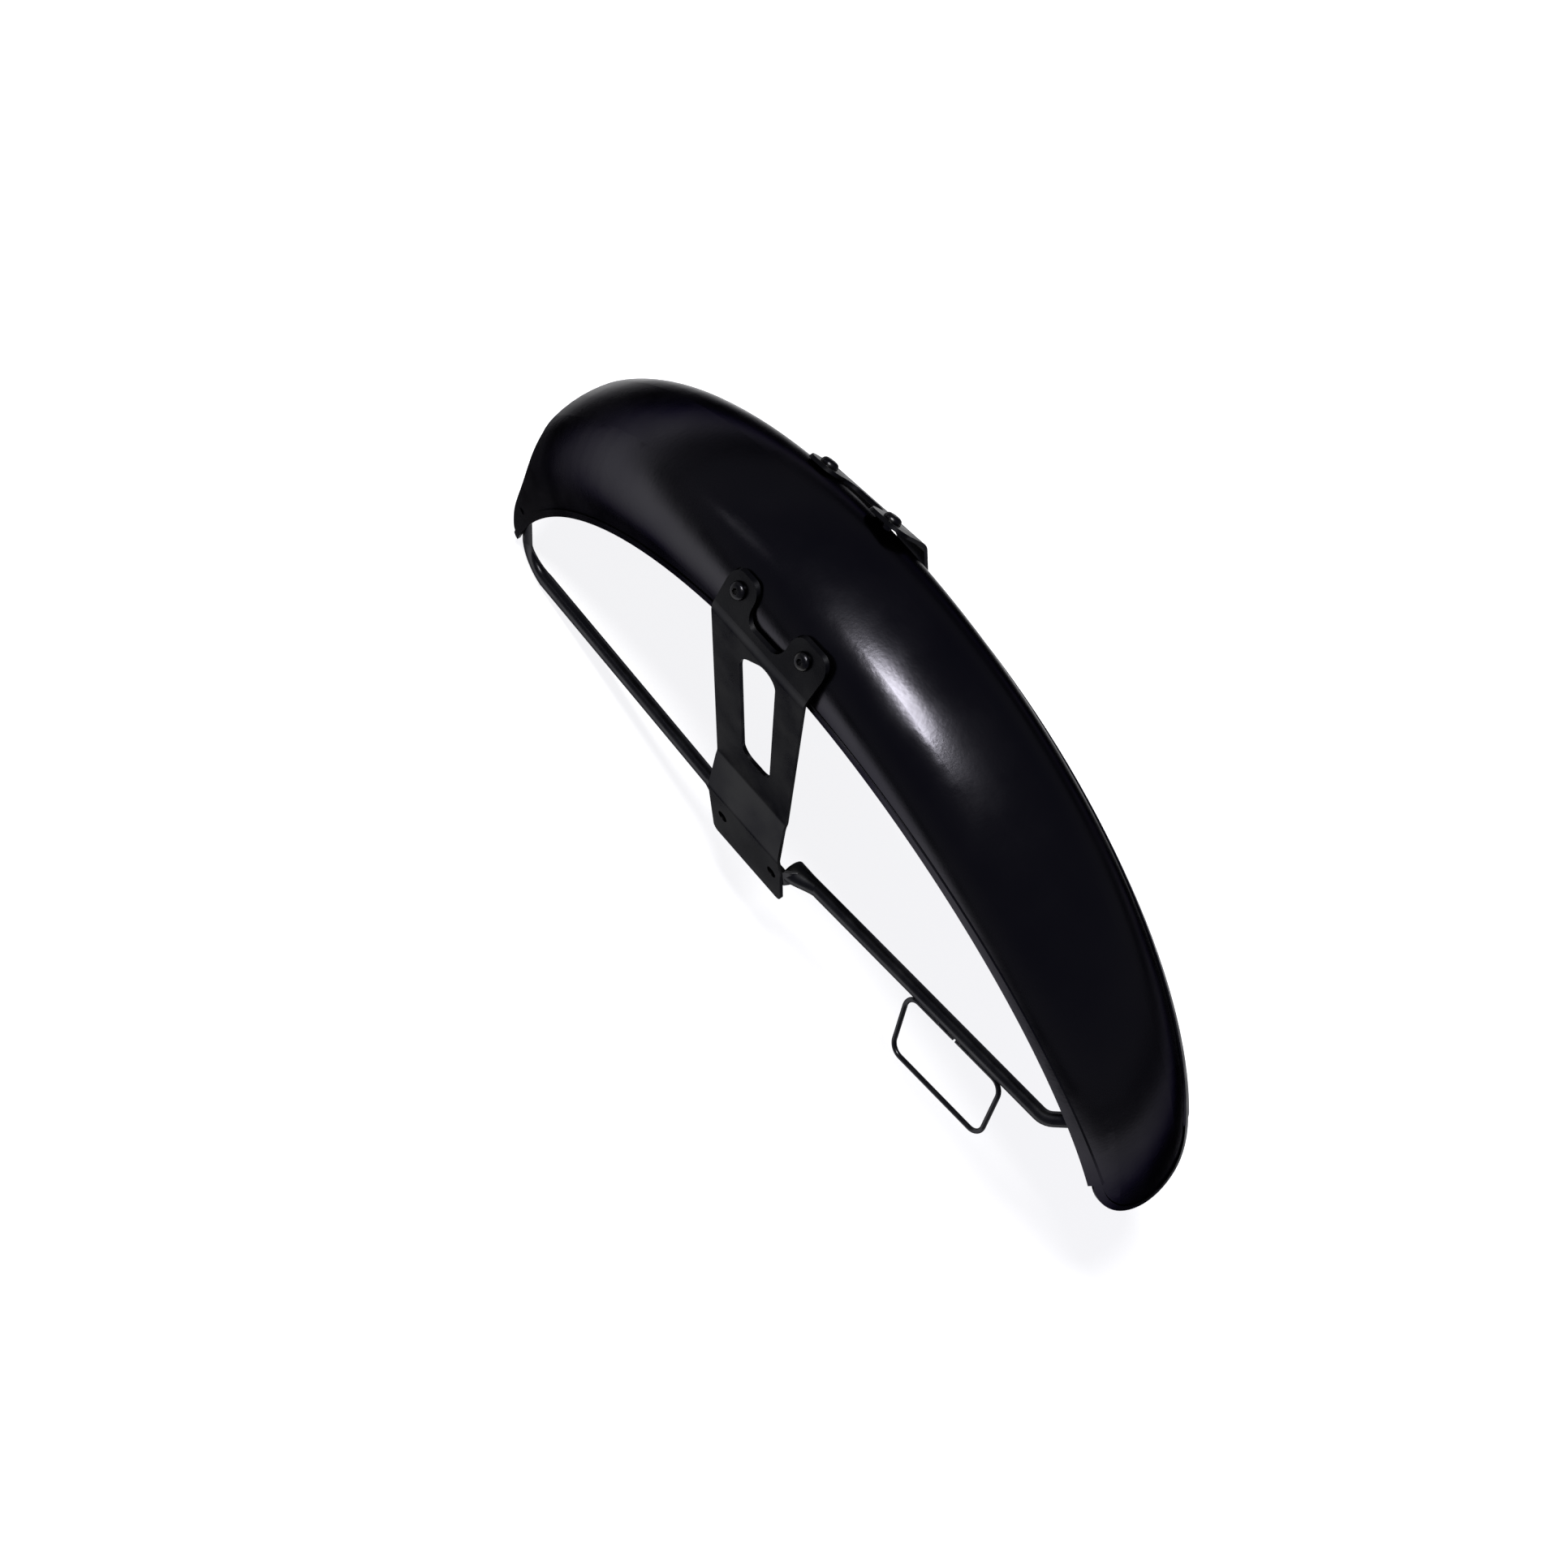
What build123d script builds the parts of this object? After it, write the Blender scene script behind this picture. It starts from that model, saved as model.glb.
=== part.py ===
"""Motorcycle front mudguard: a pressed blade, two side brackets, bent bar stays and a wire cable guide.

The origin is on the wheel axis, in the middle of the blade. +X is forward, +Y is left and +Z is up, in mm.
Angles along the blade are measured about the wheel axis from straight up, positive towards the rear.
The right half of each symmetric piece is drawn on the -Y side and mirrored.
"""
import os
from math import acos, asin, cos, degrees, hypot, radians, sin, tan

from build123d import *

# Blade section, from the crown outwards
crown_radius = 330.0  # wheel axis to the outside of the crown
crown_curve = 100.0  # radius across the crown
crown_half = 22.0  # half width of the crown's arc
shoulder_radius = 42.0
wall_flare = 5.0  # degrees that the side wall leans out
wall_reach = 75.0  # depth of the wall before it is trimmed
sheet = 1.6

# Blade outline, seen from the side and from the front
edge_depth = 28.0  # from the crown's radius to that of the arc that trims both walls
edge_forward = 26.8  # the arc's centre, ahead of the wheel axis
edge_drop = 8.4  # and below it
rear_sweep = 98.0  # degrees behind the top, before the rear end is cut
sweep_spare = 1.0  # degrees turned past the tongue's tip, then cut off
rear_outline = [  # angle and depth of the rear end's cut, from the crown to the tip of the side tabs
    (75.6, 8.0),
    (78.5, 22.4),
    (81.0, 29.1),
    (85.75, 36.1),
    (89.25, 39.8),
    (92.25, 44.0),
    (94.0, 48.0),
    (94.7, 52.0),
]
tongue_start = 57.0  # degrees ahead of the top
tongue_length = 50.0
tongue_half = 38.0
hem_width = 5.0
hem_thickness = 0.9
weld_hole_angle = 86.8  # plug-weld hole of the rear stay, in both tabs
weld_hole_radius = 2.6
weld_hole_height = 9.6  # above the wall's edge

# Fork mounting
fork_rake = 24.6  # degrees that the fork and the right bracket lean back
left_lean = 35.2  # the left bracket leans back further
foot_ahead = -22.8  # middle of the fork bolts from the wheel axis
foot_up = 77.7
fork_bolt_spacing = 51.2
fork_hole_radius = 4.25
foot_outside = 72.0  # outer face of the foot from the middle plane

# Side bracket, measured up the fork from the fork bolts
bracket_sheet = 2.5
foot_below = 26.0
foot_rear = 35.5
foot_front = 34.4
foot_front_top = 6.0
foot_top = 20.0
joggle_top = 50.0
plate_outside = 62.0
waist_height = 46.0
waist_rear = 42.6
waist_front = 27.2
waist_bend = 20.0
ear_front = 50.0
ear_above = 11.0  # heights from the line where the ears touch the blade
scallop_below = 9.0
scallop_half = 17.0
ear_bend_radius = 14.0
joggle_radius = 8.0
window_bottom = 82.0
window_rear = 15.8
window_front_low = 11.7
window_front_high = 20.9
window_rear_below = 39.0
window_front_below = 13.0
window_corner = 9.0
window_rear_corner = 22.0
window_front_corner = 10.0
bracket_corner = 5.0
ear_corner = 9.0

# Ear bolts
ear_bolt_depth = 20.0  # below the crown, where the ear touches the wall
ear_bolt_offset = 31.0
ear_clearance = 0.2
seat_steps = 8  # times that a bolt's way to the wall is measured, each closer
bolt_radius = 3.0
bolt_hole_radius = 3.3
bolt_head_radius = 6.0
bolt_head_height = 3.6
bolt_tail = 2.0  # bolt end past its nut
washer_radius = 6.5
washer_thickness = 1.4
nut_across_flats = 10.0
nut_height = 5.0
thread_clearance = 0.1
backing_sheet = 2.0
backing_half_length = 44.0
backing_top = 11.0  # depths below the crown
backing_bottom = 34.0
backing_corner = 7.0

# Bar stays
bar_radius = 4.9
weld_gap = 0.3  # between a stay and the inside of the blade
eye_half_width = 7.5
eye_thickness = 3.0
eye_length = 9.0  # from the fork bolt to the end of the flat
eye_taper = 8.0  # from the flat to the round bar
front_crank = 14.5  # from the foot's outside in to the middle of the bar
rear_crank = 11.0
front_hoop = -46.5
front_hoop_leaves = 49.0  # degrees round the section where the front leg leaves the blade
front_knee_length = 16.0
front_knee_bend = 14.0
rear_knee_angle = 98.7
rear_knee_depth = 64.8
rear_knee_outside = 53.0
rear_knee_bend = 20.0
rear_flat_half = 1.9  # half the thickness of the rear stay's flattened end
rear_flat_width = 10.0
rear_flat_past = 7.0  # past the weld hole

# Cable guide, measured along the right front leg from its fork bolt
guide_wire = 1.7
guide_middle = 165.0
guide_length = 88.0
guide_drop = 44.5
guide_corner = 9.0
guide_outward = 26.0  # degrees that the loop leans out from the bar
guide_taper = 5.0  # the outer side is shorter at its rear end
guide_gap = 2.5

margin = 20.0  # cutters reach this far past what they cut

shoulder_start = degrees(asin(crown_half / crown_curve))
shoulder_end = 90.0 - wall_flare
shoulder_side = (crown_curve - shoulder_radius) * sin(radians(shoulder_start))
shoulder_depth = crown_curve - (crown_curve - shoulder_radius) * cos(radians(shoulder_start))
blade_half = shoulder_side + shoulder_radius + wall_reach * tan(radians(wall_flare))
tongue_tip = tongue_start + degrees(asin(tongue_length / crown_radius))
sweep_angle = rear_sweep + tongue_tip + sweep_spare
edge_radius = crown_radius - edge_depth


def section_point(angle, inset):
    """Side and depth of the blade section where its normal leans the given degrees from straight up."""
    turn = radians(angle)
    if angle <= shoulder_start:
        return (crown_curve - inset) * sin(turn), crown_curve - (crown_curve - inset) * cos(turn)
    radius = shoulder_radius - inset
    return shoulder_side + radius * sin(turn), shoulder_depth - radius * cos(turn)


def wall_point(run, inset):
    """Side and depth of a point that far down the straight wall."""
    side, depth = section_point(shoulder_end, inset)
    return side + run * sin(radians(wall_flare)), depth + run * cos(radians(wall_flare))


def at(angle, side_depth):
    """Right-hand point of the blade at an angle about the wheel axis."""
    side, depth = side_depth
    radius = crown_radius - depth
    return Vector(-sin(radians(angle)) * radius, -side, cos(radians(angle)) * radius)


def mirrored(shape):
    return mirror(shape, about=Plane.XZ)


def section_face(inset):
    """Filled blade section, from its outside moved in by inset down to the wall's reach."""
    middle_angle = (shoulder_start + shoulder_end) / 2
    points = [section_point(a, inset) for a in (shoulder_start, middle_angle, shoulder_end)]
    foot = wall_point(wall_reach + inset, inset)
    right = [(side, crown_radius - depth) for side, depth in points + [foot]]
    left = [(-side, height) for side, height in right]
    outline = [
        ThreePointArc(left[0], (0, crown_radius - inset), right[0]),
        ThreePointArc(*right[:3]),
        Line(right[2], right[3]),
        Line(right[3], left[3]),
        Line(left[3], left[2]),
        ThreePointArc(left[2], left[1], left[0]),
    ]
    return Plane.YZ * make_face(outline)


def blade_skin(outside, inside):
    """Shell between two insets of the section, turned about the wheel axis over the blade's whole arc."""
    profile = section_face(outside) - section_face(inside)
    return revolve(profile.rotate(Axis.Y, -rear_sweep), Axis.Y, sweep_angle)


def edge_disc(radius):
    """Round block along the wheel axis that trims the walls."""
    place = Pos(edge_forward, 0, -edge_drop) * Rot(90, 0, 0)
    return place * Cylinder(radius, 2 * (blade_half + margin))


tongue_plane = Plane(
    origin=at(-tongue_start, (0, 0)),
    x_dir=(cos(radians(tongue_start)), 0, -sin(radians(tongue_start))),
    z_dir=(sin(radians(tongue_start)), 0, cos(radians(tongue_start))),
)


def tongue_block(inset):
    """Half ellipse, ahead of the tongue's start, through the whole blade."""
    ellipse = Ellipse(tongue_length - inset, tongue_half - inset)
    ahead = Pos(tongue_length / 2, 0) * Rectangle(tongue_length, 2 * tongue_half)
    return extrude(tongue_plane * (ellipse & ahead), wall_reach, both=True)


def ahead_of_tongue():
    length = tongue_length + margin
    outline = Pos(length / 2, 0) * Rectangle(length, 2 * (blade_half + margin))
    return extrude(tongue_plane * outline, wall_reach, both=True)


def behind_rear_end():
    """Block behind the rear end, where the crown stops first and the walls run on as two tabs."""
    curve = [at(angle, (0, depth)) for angle, depth in rear_outline]
    above = at(rear_outline[0][0], (0, -margin))
    tip = at(rear_outline[-1][0], (0, wall_reach))
    far = rear_sweep + sweep_spare
    beyond = [tip, at(far, (0, wall_reach)), at(far, (0, -margin)), above]
    outline = [Line(above, curve[0]), Spline(*curve), Polyline(curve[-1], *beyond)]
    return extrude(make_face(outline), blade_half + margin, dir=(0, 1, 0), both=True)


def bracket_plane(lean):
    """Plane of a bracket in the middle of the blade, with Y up the bracket and Z out to the right."""
    turn = radians(lean)
    return Plane(origin=(foot_ahead, 0, foot_up), x_dir=(cos(turn), 0, sin(turn)), z_dir=(0, -1, 0))


def ear_normal():
    """Lean of the ear's normal above level, where the ear touches the wall."""
    return 90.0 - degrees(acos((shoulder_depth - ear_bolt_depth) / shoulder_radius))


def ear_touch(lean):
    """Height up the bracket and side of the line where the ear's inner face meets the wall."""
    normal = ear_normal()
    side, depth = section_point(90.0 - normal, 0)
    highest = bracket_plane(lean).to_local_coords(at(lean, (side, depth)))
    height = highest.Y + ear_clearance * sin(radians(normal))
    return height, side + ear_clearance * cos(radians(normal))


def ear_bolt_place(lean, offset):
    """Place on the ear's outer face at a bolt, with Z out of the ear."""
    normal = radians(ear_normal())
    height, side = ear_touch(lean)
    out = Vector(0, sin(normal), cos(normal))
    start = Vector(offset, height, side) + out * bracket_sheet
    local = Plane(origin=start, x_dir=(1, 0, 0), z_dir=out)
    return bracket_plane(lean).location * local.location


def ear_bolt_holes(lean):
    hole = Cylinder(bolt_hole_radius, 2 * margin)
    return [ear_bolt_place(lean, offset) * hole for offset in (-ear_bolt_offset, ear_bolt_offset)]


def mudguard_blade():
    skin = blade_skin(0, sheet)
    step = blade_skin(-hem_thickness, 0)
    edge_band = edge_disc(edge_radius + hem_width) - ahead_of_tongue()
    tongue_band = tongue_block(0) - tongue_block(hem_width)
    blade = skin + (step & edge_band) + (step & tongue_band)
    blade = blade - edge_disc(edge_radius) - (ahead_of_tongue() - tongue_block(0)) - behind_rear_end()
    for hole in ear_bolt_holes(fork_rake):
        blade = blade - hole
    for hole in ear_bolt_holes(left_lean):
        blade = blade - mirrored(hole)
    return blade - stay_weld_hole()


def weld_hole_depth():
    return edge_depth + edge_forward - weld_hole_height


def stay_weld_hole():
    """Cross hole through both tabs, over the flattened ends of the rear stays."""
    place = Pos(at(weld_hole_angle, (0, weld_hole_depth()))) * Rot(90, 0, 0)
    return place * Cylinder(weld_hole_radius, 2 * (blade_half + margin))


def bracket_profile(lean):
    """Bent strip of the bracket: heights up the bracket against distances from the middle plane."""
    half = bracket_sheet / 2
    foot = foot_outside - half
    plate = plate_outside - half
    normal = radians(ear_normal())
    height, side = ear_touch(lean)
    ear_height, ear_side = height + half * sin(normal), side + half * cos(normal)
    bend = ear_height - (plate - ear_side) / tan(normal)
    rise = ear_above + margin
    return FilletPolyline(
        (-foot_below - margin, foot),
        (foot_top, foot),
        (joggle_top, plate),
        (bend, plate),
        (ear_height + rise, ear_side - rise * tan(normal)),
        radius=[joggle_radius, joggle_radius, ear_bend_radius],
    )


def bracket_outline(lean):
    touch = ear_touch(lean)[0]
    top = touch + ear_above
    body = make_face(
        Polyline(
            (-foot_rear, -foot_below),
            (foot_front, -foot_below),
            (foot_front, foot_front_top),
            (waist_front, waist_height),
            (ear_front, top),
            (-waist_rear, top),
            (-waist_rear, waist_height),
            close=True,
        )
    )
    depth = ear_above + scallop_below
    scallop = Pos(0, top) * Rectangle(2 * scallop_half, 2 * depth)
    outline = body - scallop
    outline = fillet(outline.vertices().filter_by(lambda v: v.Y < 0), bracket_corner)
    outline = fillet(outline.vertices().filter_by(lambda v: 0 < v.Y < joggle_top), waist_bend)
    return fillet(outline.vertices().filter_by(lambda v: v.Y > joggle_top), ear_corner)


def bracket_window(lean):
    touch = ear_touch(lean)[0]
    rear_top = (-window_rear, touch - window_rear_below)
    front_top = (window_front_high, touch - window_front_below)
    low = [(-window_rear, window_bottom), (window_front_low, window_bottom)]
    shape = make_face(Polyline(*low, front_top, rear_top, close=True))
    for place, corner in (
        (low[0], window_corner),
        (low[1], window_corner),
        (front_top, window_front_corner),
        (rear_top, window_rear_corner),
    ):
        shape = fillet(shape.vertices().sort_by_distance(Vector(*place))[0], corner)
    return shape


def side_bracket(lean):
    """Right-hand bracket that leans back by the given degrees."""
    plane = bracket_plane(lean)
    across = Plane(origin=(0, 0, 0), x_dir=(0, 1, 0), z_dir=(1, 0, 0))
    strip = make_face(across * offset(bracket_profile(lean), bracket_sheet / 2, side=Side.BOTH))
    bent = extrude(strip, ear_front + margin, both=True)
    flat = bracket_outline(lean) - bracket_window(lean)
    for end in (-1, 1):
        bolt = plane.to_local_coords(fork_bolt(end))
        flat = flat - Pos(bolt.X, bolt.Y) * Circle(fork_hole_radius)
    bracket = plane.location * (bent & extrude(flat, foot_outside + margin))
    for hole in ear_bolt_holes(lean):
        bracket = bracket - hole
    return bracket


def backing_plate(lean):
    """Right-hand curved plate that lies on the inside of the wall under the ear bolts."""
    shell = blade_skin(sheet, sheet + backing_sheet)
    height = ear_touch(lean)[0]
    top = height + ear_bolt_depth - backing_top
    bottom = height + ear_bolt_depth - backing_bottom
    outline = Pos(0, (top + bottom) / 2) * RectangleRounded(2 * backing_half_length, top - bottom, backing_corner)
    plate = shell & (bracket_plane(lean).location * extrude(outline, blade_half + margin))
    for hole in ear_bolt_holes(lean):
        plate = plate - hole
    return plate


def wall_behind(lean, offset):
    """Distance from the ear's outer face to the wall's outside, along the bolt."""
    place = ear_bolt_place(lean, offset)
    along = 0.0
    for step in range(seat_steps):
        point = (place * Pos(0, 0, -along)).position
        depth = crown_radius - hypot(point.X, point.Z)
        along = along + hypot(-point.Y - shoulder_side, shoulder_depth - depth) - shoulder_radius
    return along


def seat_inside(lean, offset):
    """Distance from the ear's outer face to the washer's seat inside the blade."""
    plane = bracket_plane(lean)
    curve = shoulder_radius - sheet - backing_sheet
    hollow = curve - (curve**2 - washer_radius**2) ** 0.5
    normal = plane.z_dir * cos(radians(ear_normal())) + plane.y_dir * sin(radians(ear_normal()))
    point = (ear_bolt_place(lean, offset) * Pos(0, 0, -wall_behind(lean, offset))).position
    radial = Vector(point.X, 0, point.Z).normalized()
    rise = (shoulder_depth - crown_radius + hypot(point.X, point.Z)) / shoulder_radius
    wall_normal = radial * rise + Vector(0, -(1 - rise**2) ** 0.5, 0)
    tilt = washer_radius * tan(radians(normal.get_angle(wall_normal)))
    return wall_behind(lean, offset) + sheet + backing_sheet + hollow + tilt


def ear_bolt(seat):
    reach = seat + washer_thickness + nut_height + bolt_tail
    dome_radius = (bolt_head_radius**2 + bolt_head_height**2) / (2 * bolt_head_height)
    ball = Pos(0, 0, bolt_head_height - dome_radius) * Sphere(dome_radius)
    head = ball & Pos(0, 0, bolt_head_height / 2) * Cylinder(bolt_head_radius, bolt_head_height)
    shank = Cylinder(bolt_radius, reach, align=(Align.CENTER, Align.CENTER, Align.MAX))
    return head + shank


def ear_washer(seat):
    ring = Circle(washer_radius) - Circle(bolt_hole_radius)
    return Pos(0, 0, -seat) * extrude(ring, -washer_thickness)


def ear_nut(seat):
    shape = RegularPolygon(nut_across_flats / 2, 6, major_radius=False) - Circle(bolt_radius + thread_clearance)
    return Pos(0, 0, -seat - washer_thickness) * extrude(shape, -nut_height)


def on_ears(piece):
    """The pieces at all four ear bolts, each made for the depth of its own seat."""
    placed = []
    for lean in (fork_rake, left_lean):
        for offset in (-ear_bolt_offset, ear_bolt_offset):
            copy = ear_bolt_place(lean, offset) * piece(seat_inside(lean, offset))
            placed.append(copy if lean == fork_rake else mirrored(copy))
    return Compound(children=placed)


def fork_bolt(end):
    """Fork bolt hole on the middle plane, end -1 behind and 1 in front."""
    return bracket_plane(fork_rake).from_local_coords(Vector(end * fork_bolt_spacing / 2, 0, 0))


def hoop_inset():
    return sheet + weld_gap + bar_radius


def front_leg_points():
    """Points of the right front leg from the knee to where it joins the hoop."""
    leave = section_point(front_hoop_leaves, hoop_inset())
    turn = radians(front_hoop_leaves)
    knee = leave[0] + front_knee_length * cos(turn), leave[1] + front_knee_length * sin(turn)
    return [at(front_hoop, knee), at(front_hoop, leave)]


def rear_leg_points():
    """Points of the right rear leg: its knee, and the middle of its flat under the weld hole."""
    inset = sheet + weld_gap + rear_flat_half
    drop = (weld_hole_depth() - section_point(shoulder_end, inset)[1]) / cos(radians(wall_flare))
    knee = at(rear_knee_angle, (rear_knee_outside, rear_knee_depth))
    return [knee, at(weld_hole_angle, wall_point(drop, inset))]


def bar_start(bolt, knee, crank):
    """Start and direction of the round bar, past the flattened eye."""
    eye = Vector(bolt.X, crank - foot_outside, bolt.Z)
    level = Vector(knee.X - eye.X, 0, knee.Z - eye.Z).normalized()
    start = eye + level * (eye_length + eye_taper)
    return start, (knee - start).normalized(), level


def stay_eye(bolt, start, direction, level):
    """Flattened and drilled end of the bar, tapering to the round."""
    foot_face = foot_outside - bracket_sheet
    flat_plane = Plane(origin=(bolt.X, -foot_face, bolt.Z), x_dir=level, z_dir=(0, 1, 0))
    strip = Pos(eye_length / 2, 0) * Rectangle(eye_length, 2 * eye_half_width)
    outline = Circle(eye_half_width) + strip - Circle(fork_hole_radius)
    flat = extrude(flat_plane * outline, eye_thickness)
    end = Vector(bolt.X, -foot_face + eye_thickness / 2, bolt.Z) + level * eye_length
    flat_end = Plane(origin=end, x_dir=(0, 1, 0), z_dir=level) * Rectangle(eye_thickness, 2 * eye_half_width)
    round_end = Plane(origin=start, x_dir=(0, 1, 0), z_dir=direction) * Circle(bar_radius)
    return flat + loft([flat_end, round_end])


def front_stay():
    """Bar from the right eye along its leg and half round the hoop, and its mirror image."""
    bolt = fork_bolt(1)
    points = front_leg_points()
    start, direction, level = bar_start(bolt, points[0], front_crank)
    inset = hoop_inset()
    leg = FilletPolyline(start, *points, radius=front_knee_bend)
    middle = (shoulder_start + front_hoop_leaves) / 2
    shoulder = [section_point(a, inset) for a in (front_hoop_leaves, middle, shoulder_start)]
    crown = [section_point(a, inset) for a in (shoulder_start, shoulder_start / 2, 0)]
    path = leg + ThreePointArc(*[at(front_hoop, p) for p in shoulder])
    path = path + ThreePointArc(*[at(front_hoop, p) for p in crown])
    profile = Plane(origin=start, x_dir=(0, 1, 0), z_dir=direction) * Circle(bar_radius)
    half = sweep(profile, path=path.wire()) + stay_eye(bolt, start, direction, level)
    return half + mirrored(half)


def rear_stay_right():
    """Bar from the right eye along its leg, flattened round the knee and up inside the tab."""
    bolt = fork_bolt(-1)
    knee, tab = rear_leg_points()
    start, direction, level = bar_start(bolt, knee, rear_crank)
    leg, bend, rise = FilletPolyline(start, knee, tab, radius=rear_knee_bend).edges()
    profile = Plane(origin=start, x_dir=(0, 1, 0), z_dir=direction) * Circle(bar_radius)
    round_end = Plane(origin=bend @ 0, x_dir=(0, 1, 0), z_dir=bend % 0) * Circle(bar_radius)
    flat_shape = Ellipse(rear_flat_half, rear_flat_width / 2)
    flat_end = Plane(origin=bend @ 1, x_dir=(0, 1, 0), z_dir=bend % 1) * flat_shape
    flat = extrude(flat_end, rise.length + rear_flat_past, dir=bend % 1)
    knee_bar = sweep([round_end, flat_end], path=bend, multisection=True)
    return sweep(profile, path=leg) + knee_bar + flat + stay_eye(bolt, start, direction, level)


def cable_guide_loop():
    """Rounded wire loop with its two ends meeting where it is welded under the right front leg."""
    bolt = fork_bolt(1)
    start, direction, level = bar_start(bolt, front_leg_points()[0], front_crank)
    middle = start + direction * (guide_middle - eye_length - eye_taper)
    below = Vector(direction.Z, 0, -direction.X).normalized()
    lean = radians(guide_outward)
    down = (below * cos(lean) + Vector(0, -1, 0) * sin(lean)).normalized()
    down = (down - direction * down.dot(direction)).normalized()
    near = bar_radius + guide_wire
    half = guide_length / 2
    far = near + guide_drop
    corners = [(guide_gap / 2, near), (half, near), (half, far)]
    corners = corners + [(guide_taper - half, far), (-half, near), (-guide_gap / 2, near)]
    points = [middle + direction * along + down * drop for along, drop in corners]
    path = FilletPolyline(*points, radius=guide_corner)
    profile = Plane(origin=points[0], x_dir=down, z_dir=direction) * Circle(guide_wire)
    return sweep(profile, path=path)


def main():
    rear_stay = rear_stay_right()
    nodes = {
        "mudguard_blade": mudguard_blade(),
        "side_bracket_right": side_bracket(fork_rake),
        "side_bracket_left": mirrored(side_bracket(left_lean)),
        "backing_plate_right": backing_plate(fork_rake),
        "backing_plate_left": mirrored(backing_plate(left_lean)),
        "front_stay": front_stay(),
        "rear_stay_right": rear_stay,
        "rear_stay_left": mirrored(rear_stay),
        "cable_guide_loop": cable_guide_loop(),
        "ear_bolts": on_ears(ear_bolt),
        "ear_washers": on_ears(ear_washer),
        "ear_nuts": on_ears(ear_nut),
    }
    os.makedirs("parts", exist_ok=True)
    for name, shape in nodes.items():
        export_step(shape, f"parts/{name}.step")


main()
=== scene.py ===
import bpy
from mathutils import Matrix, Vector


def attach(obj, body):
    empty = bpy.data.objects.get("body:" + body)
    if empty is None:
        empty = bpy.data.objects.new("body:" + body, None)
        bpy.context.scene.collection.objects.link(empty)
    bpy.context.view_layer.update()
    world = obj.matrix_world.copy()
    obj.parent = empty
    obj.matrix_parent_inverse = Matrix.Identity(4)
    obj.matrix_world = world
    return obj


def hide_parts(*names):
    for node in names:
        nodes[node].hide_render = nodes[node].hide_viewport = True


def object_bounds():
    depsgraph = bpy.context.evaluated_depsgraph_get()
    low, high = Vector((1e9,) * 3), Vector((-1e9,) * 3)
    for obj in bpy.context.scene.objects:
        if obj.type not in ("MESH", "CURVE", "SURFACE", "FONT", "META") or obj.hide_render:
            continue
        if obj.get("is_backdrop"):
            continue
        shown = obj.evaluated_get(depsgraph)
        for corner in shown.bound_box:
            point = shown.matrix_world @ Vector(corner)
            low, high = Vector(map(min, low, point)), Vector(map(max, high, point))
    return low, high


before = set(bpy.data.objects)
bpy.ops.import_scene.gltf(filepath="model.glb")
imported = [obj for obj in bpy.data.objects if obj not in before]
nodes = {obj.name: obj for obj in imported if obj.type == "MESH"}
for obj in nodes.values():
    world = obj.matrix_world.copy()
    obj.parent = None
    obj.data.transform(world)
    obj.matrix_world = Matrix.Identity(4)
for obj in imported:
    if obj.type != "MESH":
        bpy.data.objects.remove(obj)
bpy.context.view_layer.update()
scene = bpy.context.scene
print("frame loaded:", len(nodes), "nodes")


# camera, from the photo's own perspective
cameraPlace = {
    "photoSize": 1932,  # px, square
    "axlePixel": (1017.0, 1029.0),  # where the wheel axis crosses the middle plane
    "focal": 4712.0,  # px
    "distance": 2.5167,
    "rightAxis": (0.55394508, 0.79233452, 0.25563813),
    "downAxis": (0.83255321, -0.5271853, -0.17009061),
    "sensor": 36.0,
}


def addCamera(place):
    right = Vector(place["rightAxis"]).normalized()
    up = -Vector(place["downAxis"]).normalized()
    back = right.cross(up).normalized()
    up = back.cross(right)
    bpy.ops.object.camera_add()
    camera = bpy.context.object
    camera.name = "photoCamera"
    turn = Matrix((right, up, back)).transposed()
    camera.matrix_world = Matrix.Translation(back * place["distance"]) @ turn.to_4x4()
    size = place["photoSize"]
    camera.data.sensor_width = place["sensor"]
    camera.data.lens = place["focal"] / size * place["sensor"]
    camera.data.shift_x = (size / 2 - place["axlePixel"][0]) / size
    camera.data.shift_y = (place["axlePixel"][1] - size / 2) / size
    scene.camera = camera


addCamera(cameraPlace)
print("camera set")


# floor, sky and lamps
studio = {
    "floorDrop": 0.001,  # below the lowest point
    "floorSize": 40.0,
    "floorColour": (0.7, 0.7, 0.7, 1.0),
    "farShadeColour": (0.3, 0.3, 0.31, 1.0),  # painted shade: the floor's colour and glow darken outside the picture, standing in for a dim room around it
    "dimFrom": 0.82,
    "dimTo": 1.7,
    "floorGlow": 0.84,
    "floorRoughness": 0.9,
    "skyEdge": (0.17, 0.17, 0.2, 1.0),
    "skyEdgeAt": 0.05,  # height above the horizon, 1 is straight up
    "skyTop": (0.10, 0.10, 0.145, 1.0),
    "skyTopAt": 0.5,
}
lamps = {
    "keyLamp": {
        "origin": (-0.235, -0.07, 0.965),
        "distance": 2.6,
        "power": 50.0,
        "size": (1.0, 0.52),  # along the blade, across it
    },
    "streakLamp": {  # faint shine towards the rear end
        "origin": (-0.87, -0.22, 0.42),
        "distance": 2.6,
        "power": 0.35,
        "size": (0.7, 0.28),
    },
}
mixA, mixB, mixResult = 6, 7, 2  # a Mix node's colour sockets


def addMix(tree, first, second, share):
    mix = tree.nodes.new("ShaderNodeMix")
    mix.data_type = "RGBA"
    mix.inputs[mixA].default_value = first
    mix.inputs[mixB].default_value = second
    tree.links.new(share, mix.inputs[0])
    return mix.outputs[mixResult]


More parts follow.
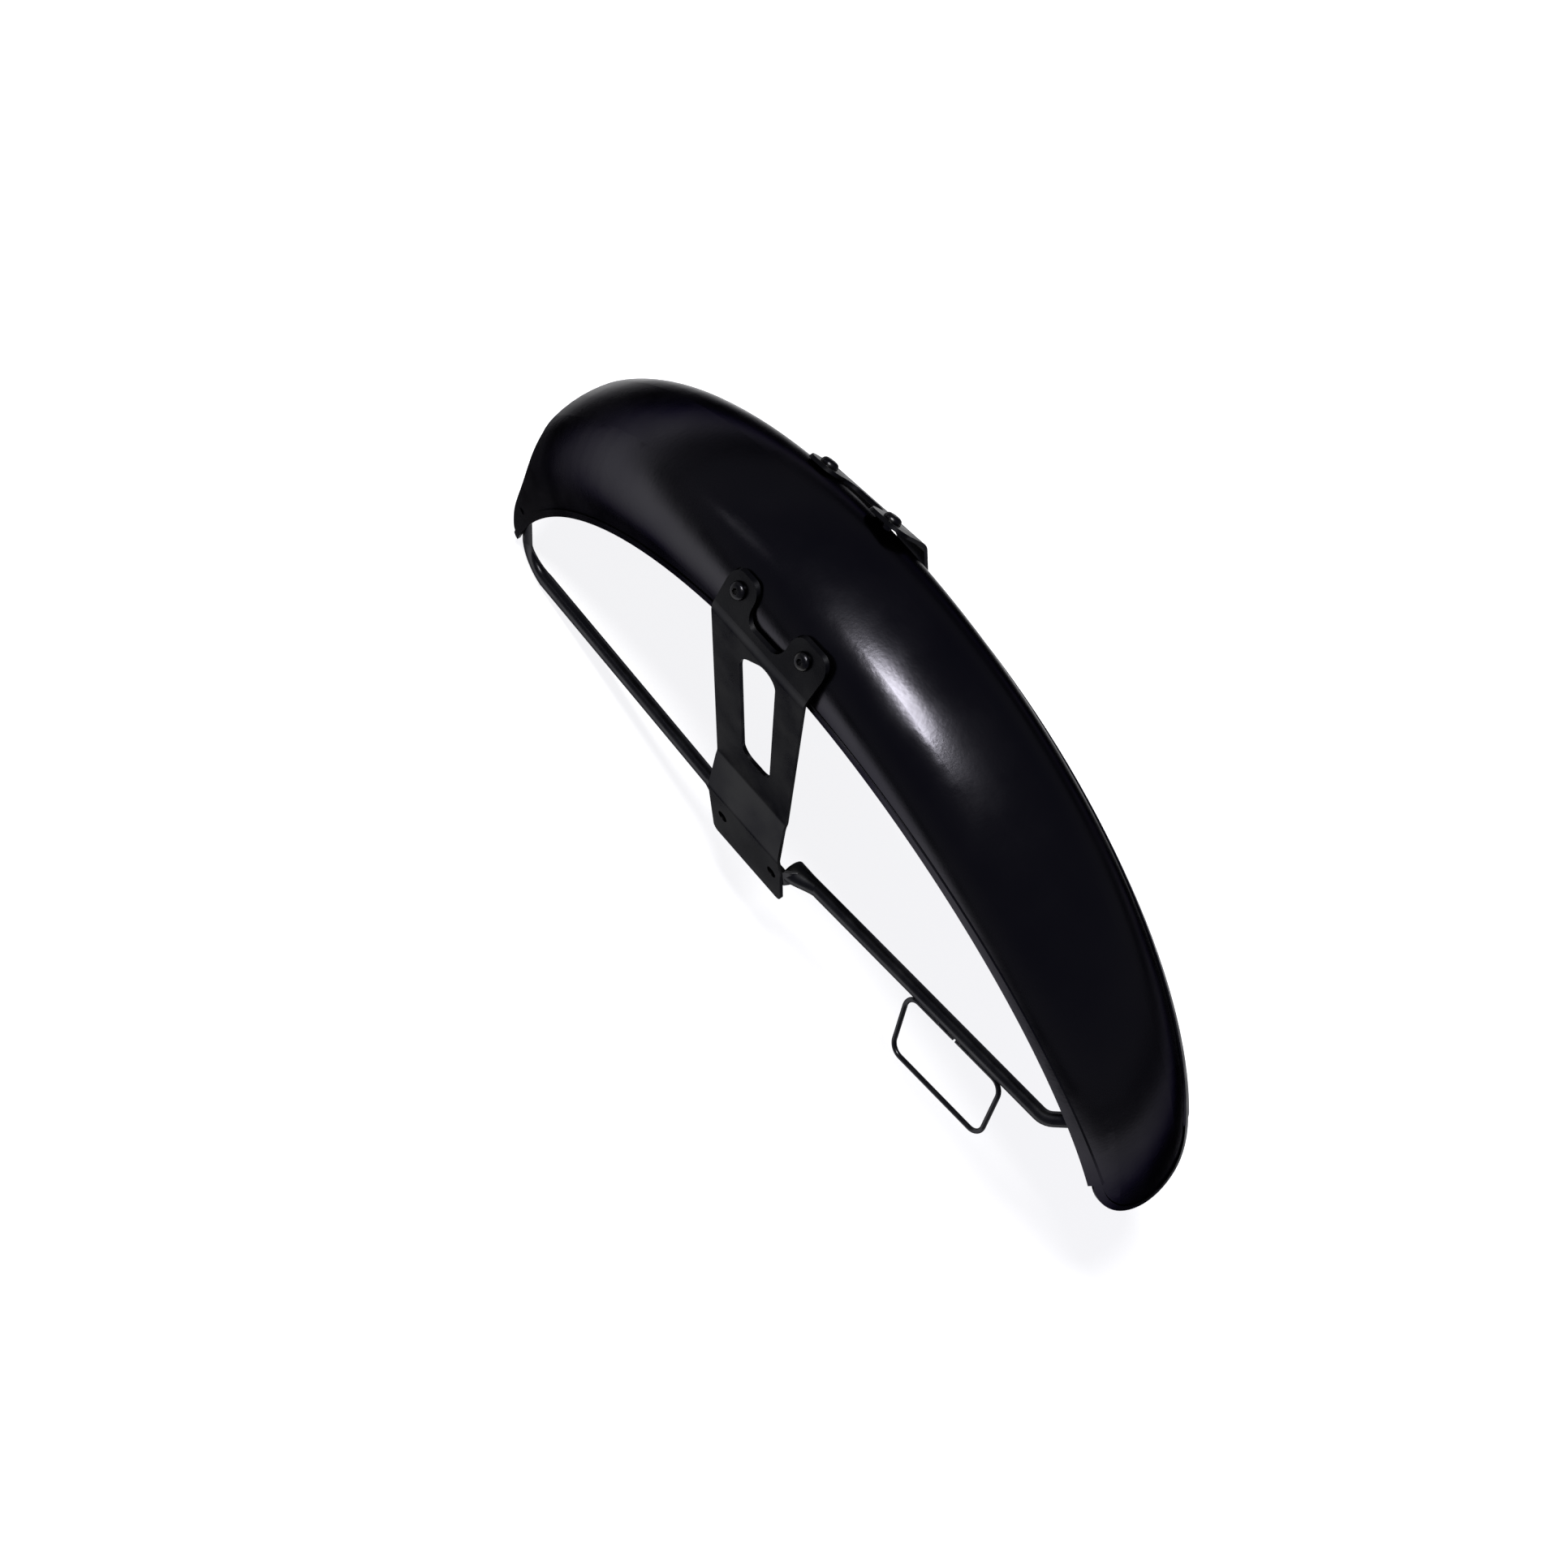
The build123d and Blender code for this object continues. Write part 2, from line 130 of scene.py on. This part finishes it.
def addMath(tree, operation, first, second):
    node = tree.nodes.new("ShaderNodeMath")
    node.operation = operation
    tree.links.new(first, node.inputs[0])
    if isinstance(second, float):
        node.inputs[1].default_value = second
    else:
        tree.links.new(second, node.inputs[1])
    return node.outputs[0]


def addFloor(values):
    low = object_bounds()[0].z - values["floorDrop"]
    bpy.ops.object.select_all(action="DESELECT")
    bpy.ops.mesh.primitive_plane_add(size=values["floorSize"], location=(0, 0, low))
    floor = bpy.context.object
    floor.name = "floor"
    paper = bpy.data.materials.new("floorPaper")
    paper.use_nodes = True
    tree = paper.node_tree
    shader = tree.nodes["Principled BSDF"]
    shader.inputs["Roughness"].default_value = values["floorRoughness"]
    shader.inputs["Specular IOR Level"].default_value = 0.0
    shader.inputs["Emission Color"].default_value = (1, 1, 1, 1)
    coordinates = tree.nodes.new("ShaderNodeTexCoord")
    reach = tree.nodes.new("ShaderNodeVectorMath")
    reach.operation = "LENGTH"
    tree.links.new(coordinates.outputs["Object"], reach.inputs[0])
    near = tree.nodes.new("ShaderNodeMapRange")
    near.interpolation_type = "SMOOTHSTEP"
    near.inputs["From Min"].default_value = values["dimTo"]
    near.inputs["From Max"].default_value = values["dimFrom"]
    tree.links.new(reach.outputs["Value"], near.inputs["Value"])
    nearness = near.outputs["Result"]
    # painted shade: the floor's colour turns to the far grey away from the object
    colour = addMix(tree, values["farShadeColour"], values["floorColour"], nearness)
    tree.links.new(colour, shader.inputs["Base Color"])
    path = tree.nodes.new("ShaderNodeLightPath")  # white to the eye, in gloss and through glass
    seen = addMath(tree, "MAXIMUM", path.outputs["Is Camera Ray"], path.outputs["Is Glossy Ray"])
    seen = addMath(tree, "MAXIMUM", seen, path.outputs["Is Transmission Ray"])
    glow = addMath(tree, "MULTIPLY", seen, values["floorGlow"])
    # painted shade: the floor's glow fades away from the object too
    glow = addMath(tree, "MULTIPLY", glow, nearness)
    tree.links.new(glow, shader.inputs["Emission Strength"])
    floor.data.materials.append(paper)
    floor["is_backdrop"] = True


def addSky(values):
    world = bpy.data.worlds.new("studio")
    scene.world = world
    world.use_nodes = True
    tree = world.node_tree
    coordinates = tree.nodes.new("ShaderNodeTexCoord")
    split = tree.nodes.new("ShaderNodeSeparateXYZ")
    ramp = tree.nodes.new("ShaderNodeValToRGB")
    edge, top = ramp.color_ramp.elements
    edge.position, edge.color = values["skyEdgeAt"], values["skyEdge"]
    top.position, top.color = values["skyTopAt"], values["skyTop"]
    tree.links.new(coordinates.outputs["Generated"], split.inputs[0])
    tree.links.new(split.outputs["Z"], ramp.inputs[0])
    tree.links.new(ramp.outputs[0], tree.nodes["Background"].inputs["Color"])


def addLamp(name, values):
    place = Vector(values["origin"]).normalized() * values["distance"]
    bpy.ops.object.light_add(type="AREA", location=place)
    lamp = bpy.context.object
    lamp.name = name
    back = place.normalized()
    side = Vector((0, 1, 0)).cross(back).normalized()  # the lamp's long side runs along the blade
    lamp.rotation_euler = Matrix((side, back.cross(side), back)).transposed().to_euler()
    lamp.data.shape = "ELLIPSE"
    lamp.data.energy = values["power"]
    lamp.data.size, lamp.data.size_y = values["size"]


addFloor(studio)
addSky(studio)
for name, values in lamps.items():
    addLamp(name, values)
print("floor and light set")


# finishes: black enamel over steel, so the shine is the enamel's own and falls off at the rims
paints = {
    "bladeEnamel": {
        "colour": (0.03, 0.029, 0.035),
        "clouded": (0.038, 0.037, 0.041),  # thin haze left by polishing
        "rimShine": 0.31,
        "roughness": (0.19, 0.27),
        "hazeScale": 9.0,  # all scales are per metre
        "smudgeScale": 26.0,
        "peelScale": 420.0,  # orange peel of a sprayed coat
        "peelDepth": 0.00004,
    },
    "bracketEnamel": {
        "colour": (0.02, 0.02, 0.022),
        "clouded": (0.03, 0.03, 0.031),
        "rimShine": 0.385,
        "roughness": (0.27, 0.36),
        "hazeScale": 30.0,
        "smudgeScale": 60.0,
        "peelScale": 1300.0,
        "peelDepth": 0.00003,
    },
    "barEnamel": {
        "colour": (0.034, 0.034, 0.037),
        "clouded": (0.044, 0.044, 0.046),
        "rimShine": 0.35,
        "roughness": (0.24, 0.34),
        "hazeScale": 40.0,
        "smudgeScale": 90.0,
        "peelScale": 800.0,
        "peelDepth": 0.000012,
    },
    "boltBlack": {
        "colour": (0.03, 0.03, 0.033),
        "clouded": (0.05, 0.049, 0.047),
        "rimShine": 0.38,
        "roughness": (0.2, 0.34),
        "hazeScale": 160.0,
        "smudgeScale": 300.0,
        "peelScale": 2200.0,
        "peelDepth": 0.00003,
    },
}
grain = {  # the same for every enamel
    "hazeDetail": 4.0,
    "smudgeDetail": 5.0,
    "peelDetail": 2.0,
    "noiseLow": 0.35,  # the middle of a noise, which is spread over the whole range
    "noiseHigh": 0.65,
}


def addNoise(tree, coordinates, scale, detail):
    noise = tree.nodes.new("ShaderNodeTexNoise")
    noise.inputs["Scale"].default_value = scale
    noise.inputs["Detail"].default_value = detail
    tree.links.new(coordinates.outputs["Object"], noise.inputs["Vector"])
    return noise.outputs["Fac"]


def addRange(tree, source, low, high):
    spread = tree.nodes.new("ShaderNodeMapRange")
    spread.inputs["From Min"].default_value = grain["noiseLow"]
    spread.inputs["From Max"].default_value = grain["noiseHigh"]
    spread.inputs["To Min"].default_value = low
    spread.inputs["To Max"].default_value = high
    tree.links.new(source, spread.inputs["Value"])
    return spread.outputs["Result"]


def makeEnamel(name, values):
    paint = bpy.data.materials.new(name)
    paint.use_nodes = True
    tree = paint.node_tree
    shader = tree.nodes["Principled BSDF"]
    shader.inputs["Metallic"].default_value = 1.0
    shader.inputs["Specular Tint"].default_value = (values["rimShine"],) * 3 + (1,)
    coordinates = tree.nodes.new("ShaderNodeTexCoord")
    haze = addNoise(tree, coordinates, values["hazeScale"], grain["hazeDetail"])
    haze = addRange(tree, haze, 0.0, 1.0)
    colour = addMix(tree, values["colour"] + (1,), values["clouded"] + (1,), haze)
    tree.links.new(colour, shader.inputs["Base Color"])
    smudge = addNoise(tree, coordinates, values["smudgeScale"], grain["smudgeDetail"])
    tree.links.new(addRange(tree, smudge, *values["roughness"]), shader.inputs["Roughness"])
    peel = addNoise(tree, coordinates, values["peelScale"], grain["peelDetail"])
    bump = tree.nodes.new("ShaderNodeBump")
    bump.inputs["Strength"].default_value = 1.0
    bump.inputs["Distance"].default_value = values["peelDepth"]
    tree.links.new(peel, bump.inputs["Height"])
    tree.links.new(bump.outputs["Normal"], shader.inputs["Normal"])
    return paint


made = {name: makeEnamel(name, values) for name, values in paints.items()}
wears = {
    "mudguard_blade": "bladeEnamel",
    "side_bracket_right": "bracketEnamel",
    "side_bracket_left": "bracketEnamel",
    "backing_plate_right": "bracketEnamel",
    "backing_plate_left": "bracketEnamel",
    "front_stay": "barEnamel",
    "rear_stay_right": "barEnamel",
    "rear_stay_left": "barEnamel",
    "cable_guide_loop": "barEnamel",
    "ear_bolts": "boltBlack",
    "ear_washers": "boltBlack",
    "ear_nuts": "boltBlack",
}
for node, name in wears.items():
    nodes[node].data.materials.clear()
    nodes[node].data.materials.append(made[name])
print("finishes set")


# steps that the added pieces share
smoothAngle = 0.6  # radians, edges sharper than this stay sharp
flatness = {"height": 1e-6, "normal": 0.9}  # how near to level a picked face is


def pickLevel(piece, height):  # selects the flat faces at one height
    bpy.ops.object.mode_set(mode="EDIT")
    bpy.ops.mesh.select_mode(type="FACE")
    bpy.ops.mesh.select_all(action="DESELECT")
    bpy.ops.object.mode_set(mode="OBJECT")
    for face in piece.data.polygons:
        level = abs(face.normal.z) > flatness["normal"]
        face.select = level and abs(face.center.z - height) < flatness["height"]
    bpy.ops.object.mode_set(mode="EDIT")


def useModifier(piece, kind, **settings):
    modifier = piece.modifiers.new(kind.lower(), kind)
    for setting, value in settings.items():
        setattr(modifier, setting, value)
    bpy.ops.object.modifier_apply(modifier=modifier.name)


def startRing(sides, radius):  # a filled ring, left selected to be drawn out upwards
    bpy.ops.object.select_all(action="DESELECT")
    bpy.ops.mesh.primitive_circle_add(vertices=sides, radius=radius, fill_type="NGON")
    bpy.ops.object.mode_set(mode="EDIT")
    bpy.ops.mesh.select_mode(type="FACE")
    bpy.ops.mesh.select_all(action="SELECT")
    return bpy.context.object


def drawOut(shift, grow=None, centre=None):
    bpy.ops.mesh.extrude_region_move(TRANSFORM_OT_translate={"value": shift})
    if grow:
        bpy.ops.transform.resize(value=grow, center_override=centre)


def turnOutwards():
    bpy.ops.mesh.select_all(action="SELECT")
    bpy.ops.mesh.normals_make_consistent(inside=False)
    bpy.ops.object.mode_set(mode="OBJECT")


def setPlace(piece, place):
    piece.matrix_world = place
    bpy.ops.object.transform_apply(location=True, rotation=True, scale=True)


def joinPieces(pieces, name, paint):
    bpy.ops.object.select_all(action="DESELECT")
    for piece in pieces:
        piece.select_set(True)
    bpy.context.view_layer.objects.active = pieces[0]
    bpy.ops.object.join()
    whole = bpy.context.object
    whole.name = name
    whole.data.materials.clear()
    whole.data.materials.append(paint)
    bpy.ops.object.shade_smooth_by_angle(angle=smoothAngle)
    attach(whole, "root")
    return whole


# ear bolts: button heads with a hexagon socket, in the places of the plain ones
buttonBolt = {
    "sides": 48,
    "radius": 0.006,
    "height": 0.0036,
    "round": 0.0031,  # rounding of the head's rim
    "roundSteps": 9,
    "socketSides": 6,
    "socketRadius": 0.0022,
    "socketDepth": 0.0021,
    "shank": 0.003,
    "pastSeat": 0.0084,  # washer, nut and the end that shows past it
    "endChamfer": 0.0007,
    "places": [  # foot of the head, axis outwards, along the ear, depth of the seat inside the blade
        ((-0.1473, -0.04986, 0.27516), (-0.23214, -0.83008, 0.50703), (0.90924, 0, 0.41628), 0.00744),
        ((-0.09093, -0.04986, 0.30097), (-0.23214, -0.83008, 0.50703), (0.90924, 0, 0.41628), 0.0092),
        ((-0.18352, 0.04986, 0.25175), (-0.32144, 0.83008, 0.45568), (0.81714, 0, 0.57643), 0.00693),
        ((-0.13286, 0.04986, 0.28749), (-0.32144, 0.83008, 0.45568), (0.81714, 0, 0.57643), 0.011),
    ],
}


def addBolt(values, foot, axis, along, seat):
    height = values["height"]
    bpy.ops.object.select_all(action="DESELECT")
    bpy.ops.mesh.primitive_cylinder_add(
        vertices=values["socketSides"],
        radius=values["socketRadius"],
        depth=2 * values["socketDepth"],
        location=(0, 0, height),
    )
    key = bpy.context.object  # cuts the socket, then goes
    bpy.ops.object.select_all(action="DESELECT")
    bpy.ops.mesh.primitive_cylinder_add(
        vertices=values["sides"],
        radius=values["radius"],
        depth=height,
        location=(0, 0, height / 2),
    )
    bolt = bpy.context.object
    bpy.ops.object.transform_apply(location=True, rotation=True, scale=True)
    pickLevel(bolt, height)
    bpy.ops.mesh.bevel(offset=values["round"], segments=values["roundSteps"], affect="EDGES")
    pickLevel(bolt, 0)
    bpy.ops.mesh.inset(thickness=values["radius"] - values["shank"])
    drawOut((0, 0, -seat - values["pastSeat"]))
    bpy.ops.mesh.bevel(offset=values["endChamfer"], segments=1, affect="EDGES")
    turnOutwards()
    useModifier(bolt, "BOOLEAN", operation="DIFFERENCE", object=key)
    bpy.data.objects.remove(key)
    out, side = Vector(axis), Vector(along)
    turn = Matrix((side, out.cross(side), out)).transposed().to_4x4()
    setPlace(bolt, Matrix.Translation(foot) @ turn)
    return bolt


bolts = [addBolt(buttonBolt, *place) for place in buttonBolt["places"]]
earBolts = joinPieces(bolts, "socketBolts", made["boltBlack"])
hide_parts("ear_bolts")
print("ear bolts made")


# weld beads, under the paint of the stays
weld = {
    "sides": 12,
    "radius": 0.0016,
    "swell": (0.3, 0.8, 1.0, 0.88, 1.02, 0.9, 1.0, 0.86, 1.0, 0.75, 0.28),  # ripples along the bead
    "runs": [
        ((0.15173, -0.05629, 0.16615), (0.16052, -0.05595, 0.1709)),  # cable guide on the front stay
        ((0.15245, -0.0527, 0.16455), (0.16124, -0.05236, 0.1693)),
        ((0.13414, -0.05696, 0.15664), (0.14294, -0.05663, 0.16139)),
        ((0.13487, -0.05337, 0.15504), (0.14366, -0.05303, 0.1598)),
        ((0.24007, -0.00597, 0.22293), (0.24007, 0.00597, 0.22293)),  # front stay inside the blade
        ((0.23519, -0.00597, 0.22808), (0.23519, 0.00597, 0.22808)),
        ((0.23621, 0.03021, 0.21935), (0.23446, 0.03444, 0.21772)),
        ((0.23621, -0.03021, 0.21935), (0.23446, -0.03444, 0.21772)),
        ((0.23141, 0.03021, 0.22441), (0.22969, 0.03444, 0.22274)),
        ((0.23141, -0.03021, 0.22441), (0.22969, -0.03444, 0.22274)),
    ],
}


def addBead(values, start, end):
    run = Vector(end) - Vector(start)
    swell = values["swell"]
    step = run.length / (len(swell) - 1)
    bead = startRing(values["sides"], values["radius"] * swell[0])
    for ring in range(1, len(swell)):
        grow = swell[ring] / swell[ring - 1]
        drawOut((0, 0, step), (grow, grow, 1), (0, 0, ring * step))
    turnOutwards()
    useModifier(bead, "SUBSURF", levels=1, render_levels=1)
    setPlace(bead, Matrix.Translation(start) @ run.to_track_quat("Z", "Y").to_matrix().to_4x4())
    return bead


beads = [addBead(weld, *run) for run in weld["runs"]]
weldBeads = joinPieces(beads, "weldBeads", made["barEnamel"])
print("weld beads made")


# necks that fan out from the round bar to the flat end of each stay
neck = {
    "sides": 24,
    "rings": 12,
    "from": 0.0066,  # along the stay from its bolt, still on the flat
    "rim": 0.0004,  # keeps the neck's end crisp
    "to": 0.034,
    "outside": 0.0693,  # of the flat, from the middle plane
    "barReach": 0.0047,  # from the bar's middle to the neck's inner side
    "flatWide": 0.0062,  # half width where it leaves the flat
    "roundHalf": (0.0044, 0.0046),  # ends just inside the bar
    "ends": [  # bolt and way along the stay, in X and Z, and the bar's middle where the neck runs out
        ((0.00048, 0.08836), (0.87959, 0.47573), 0.05696),
        ((-0.04608, 0.06704), (-0.89588, -0.4443), 0.06043),
    ],
}


def addNeck(values, side, bolt, way, barMiddle):
    middle = (values["outside"] + barMiddle - values["barReach"]) / 2
    fan = (values["outside"] - middle, values["flatWide"])
    step = (values["to"] - values["from"]) / values["rings"]
    piece = startRing(values["sides"], 1)
    bpy.ops.transform.resize(value=(*fan, 1), center_override=(0, 0, 0))
    drawOut((0, 0, values["rim"]))
    before = fan
    inward = 0
    for ring in range(1, values["rings"] + 1):
        share = ring / values["rings"]
        share = share * share * (3 - 2 * share)  # eases out of the flat and into the bar
        move = (middle - barMiddle) * share - inward
        inward += move
        half = [flat + (full - flat) * share for flat, full in zip(fan, values["roundHalf"])]
        grow = (half[0] / before[0], half[1] / before[1], 1)
        drawOut((move, 0, step), grow, (inward, 0, values["rim"] + ring * step))
        before = half
    turnOutwards()
    useModifier(piece, "SUBSURF", levels=1, render_levels=1)
    along = Vector((way[0], 0, way[1]))
    across = Vector((0, side, 0))  # towards the wheel
    turn = Matrix((across, along.cross(across), along)).transposed().to_4x4()
    foot = Vector((bolt[0], -side * middle, bolt[1])) + along * values["from"]
    setPlace(piece, Matrix.Translation(foot) @ turn)
    return piece


necks = [addNeck(neck, side, *end) for side in (1, -1) for end in neck["ends"]]
stayNecks = joinPieces(necks, "stayNecks", made["barEnamel"])
print("stay necks made")


scene.view_settings.view_transform = "Standard"
